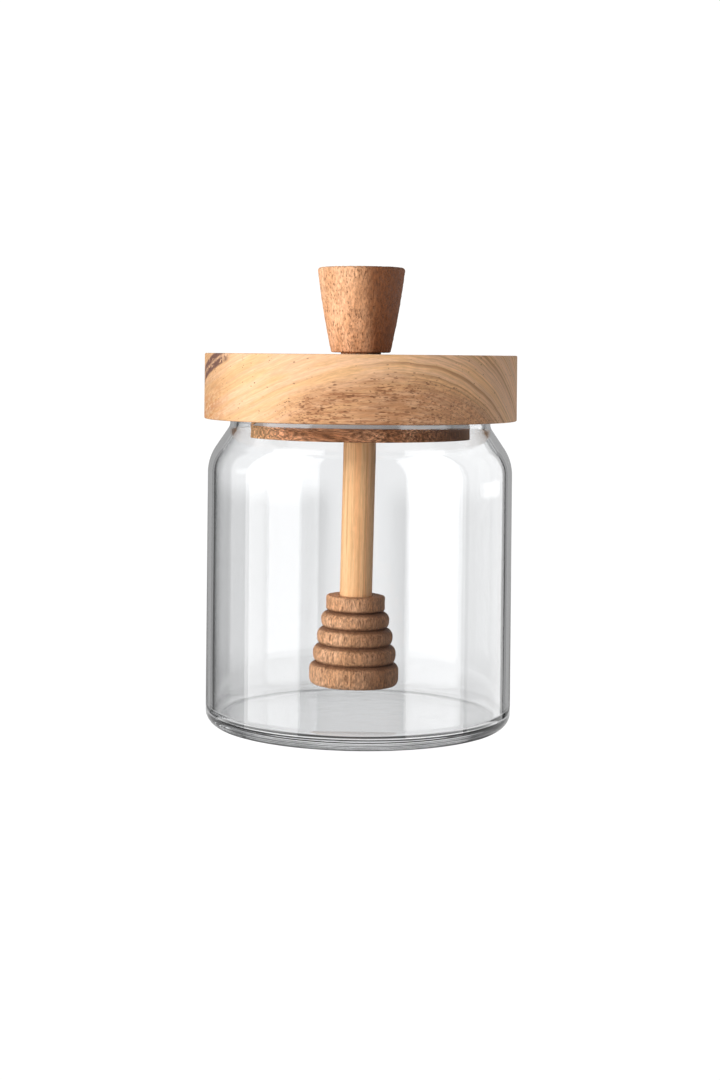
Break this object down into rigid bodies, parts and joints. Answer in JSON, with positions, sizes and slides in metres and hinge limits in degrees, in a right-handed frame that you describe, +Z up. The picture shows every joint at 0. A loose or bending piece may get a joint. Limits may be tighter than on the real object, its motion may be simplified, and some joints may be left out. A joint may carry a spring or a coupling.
{
  "type": "glass honey jar",
  "caption": "Empty clear glass honey jar with a thick round wooden lid, a tapered wooden knob and a ribbed honey dipper hanging inside.",
  "frame": {"origin": "centre of the jar's underside, on the surface that it stands on", "axes": "+Z up along the jar's axis, -Y towards the front that the picture shows, +X to its right"},
  "size_m": [0.0982, 0.0982, 0.1434],
  "materials": {
    "clear_glass": "smooth clear",
    "lid_wood": "fine sanded, oiled, honey blonde",
    "plug_wood": "fine sanded, reddish brown",
    "silicone": "matte grey",
    "turned_wood": "turned, open pored, brown",
    "bamboo": "smooth, straight fibres"
  },
  "bodies": {
    "root": {"jar_glass": "clear_glass", "lid_board": "lid_wood", "lid_plug": "plug_wood", "seal_ring": "silicone", "knob": "turned_wood", "stem": "bamboo", "dipper_head": "turned_wood"}
  },
  "joints": []
}
